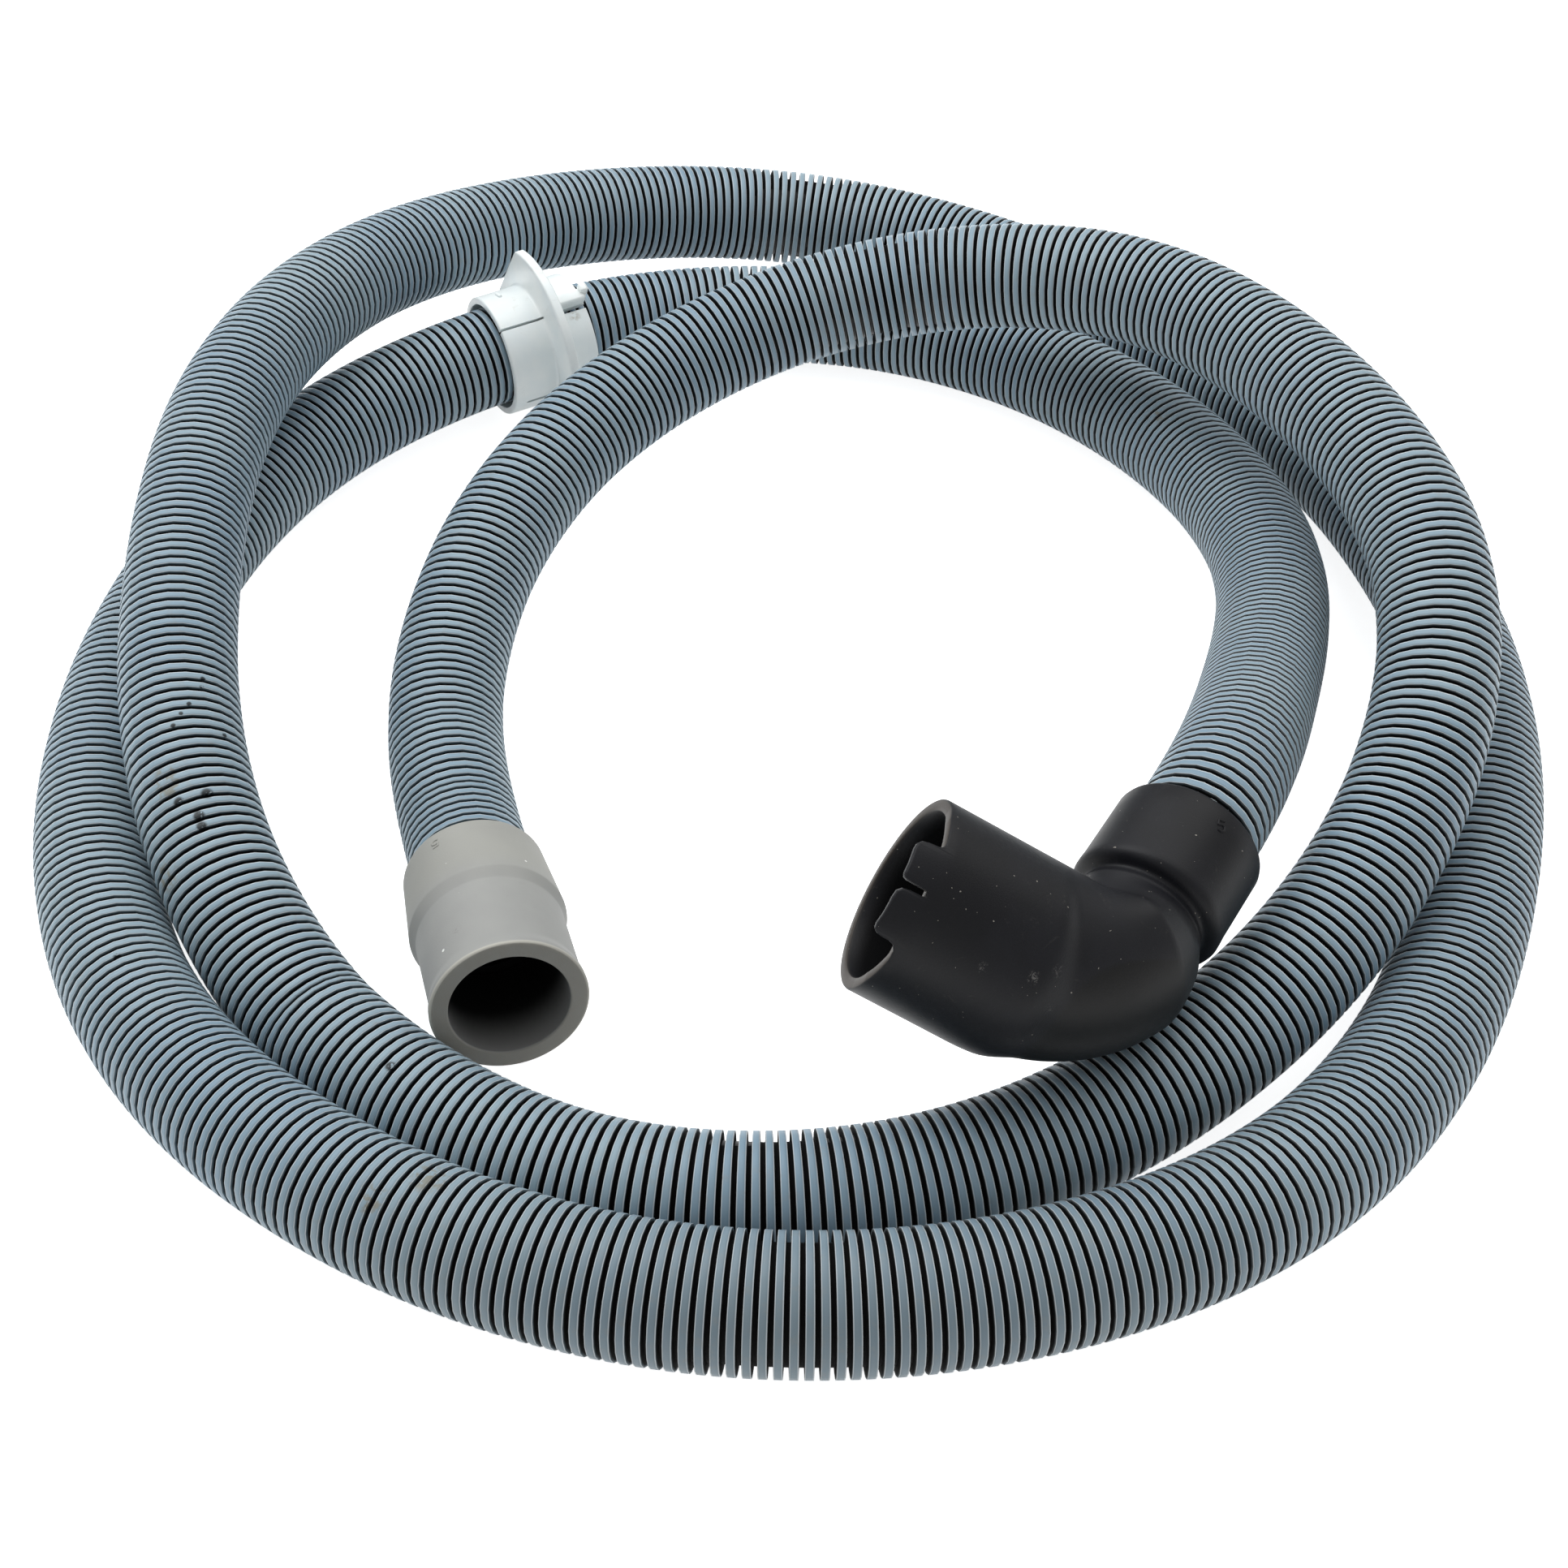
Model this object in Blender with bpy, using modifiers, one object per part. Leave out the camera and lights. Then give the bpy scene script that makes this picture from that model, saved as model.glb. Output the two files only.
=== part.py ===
"""Dishwasher drain hose: a coiled corrugated hose with a straight cuff, an elbow and a clip.

Metres, +Z up. The coil lies on the ground at Z = 0, centred on the origin, with the straight cuff's
mouth and the elbow's mouth towards -Y.
"""
import math

import bmesh
import bpy
import numpy as np
from mathutils import Matrix, Vector

MM = 0.001

# Hose
HOSE_OUTER = 0.025
HOSE_SIDE_RESOLUTION = 4
TUBE_STEP = 0.0335
# Centreline of the hose in millimetres, from inside the straight cuff to inside the elbow.
ROUTE = [
    (-61.1, -89.4, 17.1), (-64.4, -77.5, 15.3), (-67.8, -65.6, 13.4), (-76.0, -30.5, 12.8),
    (-69.0, 27.5, 22.0), (-35.0, 76.5, 31.5), (22.0, 99.0, 43.5), (79.5, 85.5, 52.5),
    (118.5, 38.5, 54.0), (134.0, -19.0, 48.0), (117.5, -76.5, 31.0), (77.0, -120.5, 17.0),
    (22.5, -148.0, 13.0), (-39.0, -147.1, 12.5), (-92.3, -111.3, 12.5), (-121.5, -65.0, 24.5),
    (-134.0, -6.5, 34.5), (-132.5, 56.0, 41.0), (-111.5, 113.5, 37.5), (-65.5, 159.5, 26.5),
    (-1.5, 179.0, 16.0), (56.0, 160.5, 12.5), (101.0, 119.5, 12.5), (133.5, 66.5, 13.0),
    (149.0, 7.0, 12.5), (144.0, -53.5, 14.0), (121.5, -111.5, 12.5), (81.5, -155.5, 17.5),
    (23.5, -177.0, 20.0), (-38.5, -173.0, 20.0), (-90.5, -147.0, 17.5), (-130.5, -102.5, 13.5),
    (-149.0, -37.0, 12.5), (-143.5, 22.5, 13.0), (-120.0, 75.0, 14.0), (-74.0, 114.0, 15.5),
    (-14.5, 135.0, 13.0), (47.5, 121.0, 12.5), (91.5, 78.0, 14.5), (108.5, 20.5, 20.5),
    (97.0, -36.5, 31.5), (77.4, -85.4, 42.8), (71.1, -95.6, 42.0), (64.9, -105.8, 41.3),
]

# Straight cuff
CUFF_LENGTH = 0.0412
CUFF_HOSE_DEPTH = 0.0166
CUFF_MOUTH_RADIUS = 0.0154
CUFF_BODY_RADIUS = 0.0148
CUFF_SHOULDER_RADIUS = 0.0158
CUFF_HOSE_END_RADIUS = 0.0145
CUFF_BORE_RADIUS = 0.0117
CUFF_SHOULDER_HEIGHT = 0.0172
CUFF_SHOULDER_RUN = 0.0027
CUFF_MOUTH_BEAD = 0.0032
FIT_GAP = 0.0004

# Elbow
SOCKET_DEPTH = 0.018
SOCKET_RADIUS = 0.0150
NECK_RADIUS = 0.0137
NECK_BORE_RADIUS = 0.0105
ELBOW_LEG_IN = 0.0425
ELBOW_LEG_OUT = 0.0407
ELBOW_BEND_RADIUS = 0.0260
ELBOW_MOUTH_DIRECTION = (-0.8595, 0.1762, 0.4799)
SLEEVE_RADIUS = 0.0189
SLEEVE_LENGTH = 0.0258
ELBOW_WALL = 0.0024
MOUTH_BORE_RADIUS = SLEEVE_RADIUS - ELBOW_WALL
MOUTH_BORE_DEPTH = 0.0180
BEND_RADIUS_MIDDLE = SLEEVE_RADIUS - 0.0015
BEND_RADIUS_END = SLEEVE_RADIUS - 0.0012
TAB_HEIGHT = 0.0054
TAB_THICKNESS = 0.0014
# The two tabs on the rim, in degrees round the mouth, with the slit between them.
TAB_ANGLES = ((-88.0, -112.4), (-116.4, -144.8))

# Bulkhead clip
CLIP_CENTRE = (-0.0661, 0.1180, 0.0157)
CLIP_HEADING = 29.5
CLIP_LONG_SIDE = 0.0144
CLIP_SHORT_SIDE = 0.0094
CLIP_CLEARANCE = 0.0012
CLIP_WALL = 0.0018
CLIP_BORE_RADIUS = HOSE_OUTER / 2 + CLIP_CLEARANCE
CLIP_RADIUS = CLIP_BORE_RADIUS + CLIP_WALL
FLANGE_RADIUS = 0.0250
FLANGE_THICKNESS = 0.0025
FLANGE_FLAT_BELOW = 0.0155
FLANGE_FLAT_BACK = 0.0193
FLANGE_FLAT_BACK_ANGLE = 35.5
CLIP_SPLIT_ANGLE = 124.0
CLIP_SPLIT_WIDTH = 0.0006
LATCH_WIDTH = 0.0030
LATCH_HEIGHT = 0.0030

SIDES = 64

HOSE_COLOUR = (0.190, 0.250, 0.300, 1.0)
CUFF_COLOUR = (0.350, 0.355, 0.345, 1.0)
ELBOW_COLOUR = (0.022, 0.023, 0.026, 1.0)
CLIP_COLOUR = (0.700, 0.710, 0.690, 1.0)


def clear_scene():
    for item in list(bpy.data.objects):
        bpy.data.objects.remove(item, do_unlink=True)
    for item in list(bpy.data.collections):
        bpy.data.collections.remove(item)


def new_collection(name):
    group = bpy.data.collections.new(name)
    bpy.context.scene.collection.children.link(group)
    return group


def material(name, colour, roughness, metallic=0.0):
    made = bpy.data.materials.new(name)
    made.use_nodes = True
    shader = made.node_tree.nodes["Principled BSDF"]
    shader.inputs["Base Color"].default_value = colour
    shader.inputs["Roughness"].default_value = roughness
    shader.inputs["Metallic"].default_value = metallic
    made.diffuse_color = colour
    return made


def natural_spline(points):
    """Second derivatives of the natural cubic through the points, and the chord parameter."""
    chord = np.linalg.norm(np.diff(points, axis=0), axis=1)
    count = len(points)
    system = np.eye(count)
    right = np.zeros((count, 3))
    for i in range(1, count - 1):
        system[i, i - 1] = chord[i - 1]
        system[i, i] = 2.0 * (chord[i - 1] + chord[i])
        system[i, i + 1] = chord[i]
        right[i] = 6.0 * ((points[i + 1] - points[i]) / chord[i]
                          - (points[i] - points[i - 1]) / chord[i - 1])
    return chord, np.linalg.solve(system, right)


def smooth_route(points, per_span=24):
    """Closely spaced positions along the smooth curve that runs through the route's points."""
    chord, second = natural_spline(points)
    placed = []
    for i in range(len(points) - 1):
        h = chord[i]
        b = np.linspace(0.0, h, per_span, endpoint=False)[:, None]
        a = h - b
        placed.append(second[i] * a ** 3 / (6 * h) + second[i + 1] * b ** 3 / (6 * h)
                      + (points[i] / h - second[i] * h / 6) * a
                      + (points[i + 1] / h - second[i + 1] * h / 6) * b)
    placed.append(points[-1:])
    line = np.vstack(placed)
    # The hose never dips under the ground it lies on.
    line[:, 2] = np.maximum(line[:, 2], HOSE_OUTER / 2)
    return line


def tube_points(line, held):
    """Points along the line about TUBE_STEP apart, with one at each held distance."""
    along = np.concatenate([[0.0], np.cumsum(np.linalg.norm(np.diff(line, axis=0), axis=1))])
    stations = [held[0]]
    for start, end in zip(held[:-1], held[1:]):
        pieces = max(1, round((end - start) / TUBE_STEP))
        stations.extend(start + (end - start) * (k + 1) / pieces for k in range(pieces))
    return np.stack([np.interp(stations, along, line[:, k]) for k in range(3)], axis=-1)


def curve_tube(name, points, radii, resolution, group):
    """A round tube with closed ends along the points, turned into a mesh with welded caps."""
    data = bpy.data.curves.new(name, "CURVE")
    data.dimensions = "3D"
    data.bevel_depth = 1.0
    data.bevel_resolution = resolution
    data.use_fill_caps = True
    data.twist_mode = "MINIMUM"
    line = data.splines.new("POLY")
    line.points.add(len(points) - 1)
    for knot, place, radius in zip(line.points, points, radii):
        knot.co = (place[0], place[1], place[2], 1.0)
        knot.radius = radius
    holder = bpy.data.objects.new(name + "_line", data)
    group.objects.link(holder)
    bpy.context.view_layer.update()
    graph = bpy.context.evaluated_depsgraph_get()
    mesh = bpy.data.meshes.new_from_object(holder.evaluated_get(graph))
    mesh.name = name
    made = bpy.data.objects.new(name, mesh)
    made.matrix_world = holder.matrix_world
    group.objects.link(made)
    bpy.data.objects.remove(holder, do_unlink=True)
    work = bmesh.new()
    work.from_mesh(mesh)
    bmesh.ops.remove_doubles(work, verts=work.verts, dist=0.00001)
    bmesh.ops.recalc_face_normals(work, faces=work.faces)
    work.to_mesh(mesh)
    work.free()
    return made


def turned(name, outline, group, steps=SIDES):
    """A closed outline of (radius, height) pairs turned about the local Z axis."""
    mesh = bpy.data.meshes.new(name)
    count = len(outline)
    mesh.from_pydata([(r, 0.0, z) for r, z in outline], [(i, (i + 1) % count) for i in range(count)], [])
    made = bpy.data.objects.new(name, mesh)
    group.objects.link(made)
    screw = made.modifiers.new("turn", "SCREW")
    screw.axis = "Z"
    screw.angle = math.tau
    screw.steps = steps
    screw.render_steps = steps
    screw.use_merge_vertices = True
    screw.merge_threshold = 0.00001
    screw.use_normal_calculate = True
    return made


def box(name, size, matrix, group):
    """A box of the given size, centred on the matrix."""
    mesh = bpy.data.meshes.new(name)
    work = bmesh.new()
    bmesh.ops.create_cube(work, size=1.0)
    bmesh.ops.scale(work, vec=size, verts=work.verts)
    work.to_mesh(mesh)
    work.free()
    made = bpy.data.objects.new(name, mesh)
    made.matrix_world = matrix
    group.objects.link(made)
    return made


def plate(name, outline, thickness, matrix, group):
    """A flat plate with the given outline in its local XY plane, centred on the plane."""
    data = bpy.data.curves.new(name, "CURVE")
    data.dimensions = "2D"
    data.fill_mode = "BOTH"
    data.extrude = thickness / 2
    line = data.splines.new("POLY")
    line.points.add(len(outline) - 1)
    for knot, (x, y) in zip(line.points, outline):
        knot.co = (x, y, 0.0, 1.0)
    line.use_cyclic_u = True
    holder = bpy.data.objects.new(name + "_outline", data)
    group.objects.link(holder)
    bpy.context.view_layer.update()
    graph = bpy.context.evaluated_depsgraph_get()
    mesh = bpy.data.meshes.new_from_object(holder.evaluated_get(graph))
    mesh.name = name
    bpy.data.objects.remove(holder, do_unlink=True)
    work = bmesh.new()
    work.from_mesh(mesh)
    bmesh.ops.remove_doubles(work, verts=work.verts, dist=0.00001)
    bmesh.ops.recalc_face_normals(work, faces=work.faces)
    work.to_mesh(mesh)
    work.free()
    made = bpy.data.objects.new(name, mesh)
    made.matrix_world = matrix
    group.objects.link(made)
    return made


def combine(target, other, operation):
    step = target.modifiers.new(operation.lower() + "_" + other.name, "BOOLEAN")
    step.operation = operation
    step.solver = "EXACT"
    step.object = other


def as_cutter(item):
    item.hide_render = True
    item.display_type = "WIRE"
    return item


def finish_round(item, angle=35.0):
    """Round walls shaded smooth, with sharp edges kept."""
    mesh = item.data
    for face in mesh.polygons:
        face.use_smooth = True
    mesh.set_sharp_from_angle(angle=math.radians(angle))


def frame_matrix(origin, z_axis, x_hint):
    z = Vector(z_axis).normalized()
    x = Vector(x_hint)
    x = (x - z * x.dot(z)).normalized()
    y = z.cross(x)
    made = Matrix((x, y, z)).transposed().to_4x4()
    made.translation = Vector(origin)
    return made


def build_hose(line, held, group):
    points = tube_points(line, held)
    hose = curve_tube("drain_hose", points, [HOSE_OUTER / 2] * len(points), HOSE_SIDE_RESOLUTION, group)
    hose.data.materials.append(material("hose_plastic", HOSE_COLOUR, 0.42))
    finish_round(hose)
    return hose


def build_cuff(matrix, group):
    # Local Z runs from the hose end, at zero, up to the mouth.
    top = CUFF_LENGTH
    edge = 0.0006
    stop = CUFF_HOSE_DEPTH + FIT_GAP
    socket = HOSE_OUTER / 2 + FIT_GAP
    outline = [
        (CUFF_BORE_RADIUS + edge, top),
        (CUFF_MOUTH_RADIUS - edge, top),
        (CUFF_MOUTH_RADIUS, top - edge),
        (CUFF_BODY_RADIUS + 0.0002, top - CUFF_MOUTH_BEAD * 0.55),
        (CUFF_BODY_RADIUS, top - CUFF_MOUTH_BEAD),
        (CUFF_BODY_RADIUS, CUFF_SHOULDER_HEIGHT + CUFF_SHOULDER_RUN),
        (CUFF_SHOULDER_RADIUS - 0.0004, CUFF_SHOULDER_HEIGHT + CUFF_SHOULDER_RUN * 0.3),
        (CUFF_SHOULDER_RADIUS, CUFF_SHOULDER_HEIGHT),
        (CUFF_HOSE_END_RADIUS, edge),
        (CUFF_HOSE_END_RADIUS - edge, 0.0),
        (socket, 0.0),
        (socket, stop),
        (CUFF_BORE_RADIUS, stop),
        (CUFF_BORE_RADIUS, top - edge),
    ]
    cuff = turned("straight_cuff", outline, group)
    cuff.matrix_world = matrix
    cuff.data.materials.append(material("cuff_rubber", CUFF_COLOUR, 0.55))
    return cuff


def elbow_line(mouth_angle):
    """The elbow's own centreline: down local -Z, round the bend, out in the local XZ plane."""
    out = np.array([math.sin(mouth_angle), 0.0, math.cos(mouth_angle)])
    corner = np.array([0.0, 0.0, -ELBOW_LEG_IN])
    reach = ELBOW_BEND_RADIUS / math.tan(mouth_angle / 2)
    centre = corner + np.array([ELBOW_BEND_RADIUS, 0.0, reach])
    turn = math.pi - mouth_angle
    arc = [centre + ELBOW_BEND_RADIUS * np.array([-math.cos(t), 0.0, -math.sin(t)])
           for t in np.linspace(0.0, turn, 17)]
    return arc, corner + out * ELBOW_LEG_OUT, out


def build_elbow(matrix, mouth_angle, group, cutters):
    arc, mouth, out = elbow_line(mouth_angle)
    shares = np.linspace(0.0, 1.0, len(arc))
    wall = ELBOW_WALL
    # Outside of the socket, neck and bend; radius against distance from the hose edge.
    edge = 0.0005
    stations = [0.0, edge, SOCKET_DEPTH + 0.0002, SOCKET_DEPTH + 0.0012, SOCKET_DEPTH + 0.0022,
                SOCKET_DEPTH + 0.0030]
    radii = [SOCKET_RADIUS - edge, SOCKET_RADIUS, SOCKET_RADIUS, SOCKET_RADIUS - 0.0004,
             NECK_RADIUS + 0.0002, NECK_RADIUS]
    points = [(0.0, 0.0, -s) for s in stations]
    points += [tuple(place) for place in arc]
    radii += [float(r) for r in np.interp(shares, [0.0, 0.16, 0.34, 1.0], [
        NECK_RADIUS, (NECK_RADIUS + BEND_RADIUS_MIDDLE) / 2, BEND_RADIUS_MIDDLE, BEND_RADIUS_END])]
    points.append(tuple(mouth - out * wall * 4))
    radii.append(BEND_RADIUS_END)
    elbow = curve_tube("elbow_cuff", points, radii, 14, group)
    elbow.matrix_world = matrix
    # Straight sleeve round the mouth.
    round_edge = 0.0008
    sleeve_matrix = matrix @ frame_matrix(mouth, out, (0.0, 1.0, 0.0))
    sleeve = turned("elbow_sleeve", [
        (0.0, 0.0), (SLEEVE_RADIUS - round_edge, 0.0), (SLEEVE_RADIUS, -round_edge),
        (SLEEVE_RADIUS, -SLEEVE_LENGTH + 0.0012), (SLEEVE_RADIUS - 0.0012, -SLEEVE_LENGTH),
        (0.0, -SLEEVE_LENGTH)], cutters)
    sleeve.matrix_world = sleeve_matrix
    combine(elbow, as_cutter(sleeve), "UNION")
    # Two tabs stand on the rim: sectors of a thin ring. Angles are counted round the mouth from the
    # side that faces the socket.
    zero = Vector((0.0, 0.0, 1.0)) - Vector(out) * float(out[2])
    rim_matrix = matrix @ frame_matrix(mouth, out, zero)
    tab_outer = SLEEVE_RADIUS - 0.0001
    tab_inner = SLEEVE_RADIUS - TAB_THICKNESS
    root = TAB_THICKNESS * 2
    for k, (start, end) in enumerate(TAB_ANGLES):
        tab = turned("rim_tab_%d" % (k + 1), [
            (tab_inner, -root), (tab_outer, -root), (tab_outer, TAB_HEIGHT - 0.0003),
            (tab_outer - 0.0003, TAB_HEIGHT), (tab_inner, TAB_HEIGHT)], cutters)
        tab.matrix_world = rim_matrix
        reach = SLEEVE_RADIUS * 1.4
        wedge = [(0.0, 0.0)] + [(reach * math.cos(math.radians(a)), reach * math.sin(math.radians(a)))
                                for a in (start, (start + end) / 2, end)]
        lifted = rim_matrix @ Matrix.Translation((0.0, 0.0, TAB_HEIGHT / 2))
        sector = plate("rim_sector_%d" % (k + 1), wedge, TAB_HEIGHT * 4, lifted, cutters)
        combine(tab, as_cutter(sector), "INTERSECT")
        combine(elbow, as_cutter(tab), "UNION")
    # Bore: the socket for the hose, the neck and the wide mouth.
    socket = HOSE_OUTER / 2 + FIT_GAP
    stop = SOCKET_DEPTH + FIT_GAP
    inner = [(0.0, 0.0, 0.004), (0.0, 0.0, -stop), (0.0, 0.0, -stop - 0.0001)]
    inner_radii = [socket, socket, NECK_BORE_RADIUS]
    inner += [tuple(place) for place in arc]
    inner_radii += [float(r) for r in np.interp(shares, [0.0, 0.16, 0.34, 1.0], [
        NECK_BORE_RADIUS, (NECK_BORE_RADIUS + BEND_RADIUS_MIDDLE - wall) / 2,
        BEND_RADIUS_MIDDLE - wall, BEND_RADIUS_END - wall])]
    inner.append(tuple(mouth - out * MOUTH_BORE_DEPTH))
    inner_radii.append(MOUTH_BORE_RADIUS)
    inner.append(tuple(mouth + out * 0.0002))
    inner_radii.append(MOUTH_BORE_RADIUS)
    bore = curve_tube("elbow_bore", inner, inner_radii, 14, cutters)
    bore.matrix_world = matrix
    combine(elbow, as_cutter(bore), "DIFFERENCE")
    elbow.data.materials.append(material("elbow_rubber", ELBOW_COLOUR, 0.50))
    finish_round(elbow)
    return elbow


def build_clip(matrix, group, cutters):
    # Local Z runs along the hose, with the flange's outer face at zero. Angles count from local X,
    # which is level and points towards the back of the coil, up over the top.
    edge = 0.0004
    long_end = -CLIP_LONG_SIDE
    short_end = CLIP_SHORT_SIDE
    outline = [
        (CLIP_BORE_RADIUS, short_end),
        (CLIP_RADIUS - edge, short_end),
        (CLIP_RADIUS, short_end - edge),
        (CLIP_RADIUS, 0.0),
        (FLANGE_RADIUS - edge, 0.0),
        (FLANGE_RADIUS, -edge),
        (FLANGE_RADIUS, -FLANGE_THICKNESS + edge),
        (FLANGE_RADIUS - edge, -FLANGE_THICKNESS),
        (CLIP_RADIUS + 0.0008, -FLANGE_THICKNESS),
        (CLIP_RADIUS, -FLANGE_THICKNESS - 0.0008),
        (CLIP_RADIUS, long_end + edge),
        (CLIP_RADIUS - edge, long_end),
        (CLIP_BORE_RADIUS, long_end),
    ]
    clip = turned("bulkhead_clip", outline, group)
    clip.matrix_world = matrix

    def around(angle, radius, z):
        radial = Vector((math.cos(math.radians(angle)), math.sin(math.radians(angle)), 0.0))
        side = Vector((0.0, 0.0, 1.0)).cross(radial)
        placed = Matrix((radial, side, Vector((0.0, 0.0, 1.0)))).transposed().to_4x4()
        placed.translation = radial * radius + Vector((0.0, 0.0, z))
        return matrix @ placed

    block = FLANGE_RADIUS * 2.4
    for name, angle, reach in (("flange_flat_below", -90.0, FLANGE_FLAT_BELOW),
                               ("flange_flat_back", FLANGE_FLAT_BACK_ANGLE, FLANGE_FLAT_BACK)):
        cut = box(name, (block, block, FLANGE_THICKNESS + 0.004),
                  around(angle, reach + block / 2, -FLANGE_THICKNESS / 2), cutters)
        combine(clip, as_cutter(cut), "DIFFERENCE")
    length = CLIP_LONG_SIDE + CLIP_SHORT_SIDE
    middle = (CLIP_SHORT_SIDE - CLIP_LONG_SIDE) / 2
    split_depth = FLANGE_RADIUS - CLIP_BORE_RADIUS + 0.006
    split = box("clip_split", (split_depth, CLIP_SPLIT_WIDTH, length + 0.004),
                around(CLIP_SPLIT_ANGLE, CLIP_BORE_RADIUS - 0.003 + split_depth / 2, middle), cutters)
    combine(clip, as_cutter(split), "DIFFERENCE")
    bar_length = CLIP_SHORT_SIDE + 0.0012
    bar = box("clip_latch", (LATCH_HEIGHT, LATCH_WIDTH, bar_length),
              around(CLIP_SPLIT_ANGLE - 3.0, CLIP_RADIUS + LATCH_HEIGHT / 2 - 0.0008,
                     bar_length / 2 - 0.0010), cutters)
    combine(clip, as_cutter(bar), "UNION")
    clip.data.materials.append(material("clip_plastic", CLIP_COLOUR, 0.38))
    return clip


def main():
    clear_scene()
    group = new_collection("dishwasher_drain_hose")
    cutters = new_collection("cutters")
    points = np.array(ROUTE) * MM
    line = smooth_route(points)
    along = np.concatenate([[0.0], np.cumsum(np.linalg.norm(np.diff(line, axis=0), axis=1))])
    total = along[-1]
    to_clip = along[np.linalg.norm(line - np.array(CLIP_CENTRE), axis=1).argmin()]
    held = [0.0, CUFF_HOSE_DEPTH + 0.004, to_clip - CLIP_LONG_SIDE - 0.004,
            to_clip + CLIP_SHORT_SIDE + 0.004, total - SOCKET_DEPTH - 0.004, total]
    build_hose(line, held, group)

    first = Vector(points[0])
    back = (Vector(points[2]) - first).normalized()
    hose_edge = first + back * CUFF_HOSE_DEPTH
    build_cuff(frame_matrix(hose_edge, -back, (1.0, 0.0, 0.0)), group)

    last = Vector(points[-1])
    forward = (last - Vector(points[-3])).normalized()
    socket_edge = last - forward * SOCKET_DEPTH
    mouth_way = Vector(ELBOW_MOUTH_DIRECTION).normalized()
    mouth_angle = (-forward).angle(mouth_way)
    build_elbow(frame_matrix(socket_edge, -forward, mouth_way), mouth_angle, group, cutters)

    heading = math.radians(CLIP_HEADING)
    axis = Vector((math.cos(heading), math.sin(heading), 0.0))
    level = Vector((0.0, 0.0, 1.0)).cross(axis)
    build_clip(frame_matrix(CLIP_CENTRE, axis, level), group, cutters)


main()
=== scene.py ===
import math

import bmesh
import bpy
import numpy as np
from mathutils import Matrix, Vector


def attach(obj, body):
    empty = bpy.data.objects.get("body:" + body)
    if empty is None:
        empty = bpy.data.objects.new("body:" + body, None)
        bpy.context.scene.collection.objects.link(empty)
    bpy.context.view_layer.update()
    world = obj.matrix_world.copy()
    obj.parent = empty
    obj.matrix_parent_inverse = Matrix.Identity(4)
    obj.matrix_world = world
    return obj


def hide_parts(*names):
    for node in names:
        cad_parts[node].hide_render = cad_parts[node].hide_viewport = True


# Drain hose for a dishwasher: corrugated hose, straight cuff, elbow cuff and bulkhead clip.
# Metres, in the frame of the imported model.

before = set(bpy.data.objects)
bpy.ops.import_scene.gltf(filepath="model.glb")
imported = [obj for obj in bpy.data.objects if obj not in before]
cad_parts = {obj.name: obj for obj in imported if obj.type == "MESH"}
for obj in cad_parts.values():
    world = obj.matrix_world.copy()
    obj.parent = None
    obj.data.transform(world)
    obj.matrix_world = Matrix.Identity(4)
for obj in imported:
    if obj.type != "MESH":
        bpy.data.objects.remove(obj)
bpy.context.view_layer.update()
mm = 0.001
print("frame loaded")


def unit(v):
    # each vector divided by its own length
    v = np.asarray(v, float)
    return v / np.linalg.norm(v, axis=-1, keepdims=True)


def axesFrom(origin, zWay, xHint):
    # three axes square to each other: z as given, x the hint less its share along z, y = z cross x
    z = unit(zWay)
    x = np.asarray(xHint, float)
    x = unit(x - z * (x @ z))
    return np.asarray(origin, float), np.stack([x, np.cross(z, x), z])


def placed(points, axes):
    # local coordinates times the axes, plus the origin
    origin, rows = axes
    return np.asarray(points, float) @ rows + origin


def smoothStep(low, high, x):
    t = np.clip((x - low) / (high - low), 0, 1)
    return t * t * (3 - 2 * t)


cameraFacts = dict(
    place=(-0.0025, -0.3985, 0.3605),
    lookDown=44.5,          # degrees below level, looking along +Y
    focalPixels=2868,
    framePixels=1932,
    sensorWidth=36.0,
)


def makeCamera(facts):
    lens = bpy.data.cameras.new("camera")
    lens.sensor_width = facts["sensorWidth"]
    lens.lens = facts["sensorWidth"] * facts["focalPixels"] / facts["framePixels"]
    lens.clip_start = 0.01
    holder = bpy.data.objects.new("camera", lens)
    holder.location = facts["place"]
    holder.rotation_euler = (math.radians(90 - facts["lookDown"]), 0, 0)
    bpy.context.scene.collection.objects.link(holder)
    bpy.context.scene.camera = holder


makeCamera(cameraFacts)
print("camera placed")


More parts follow.
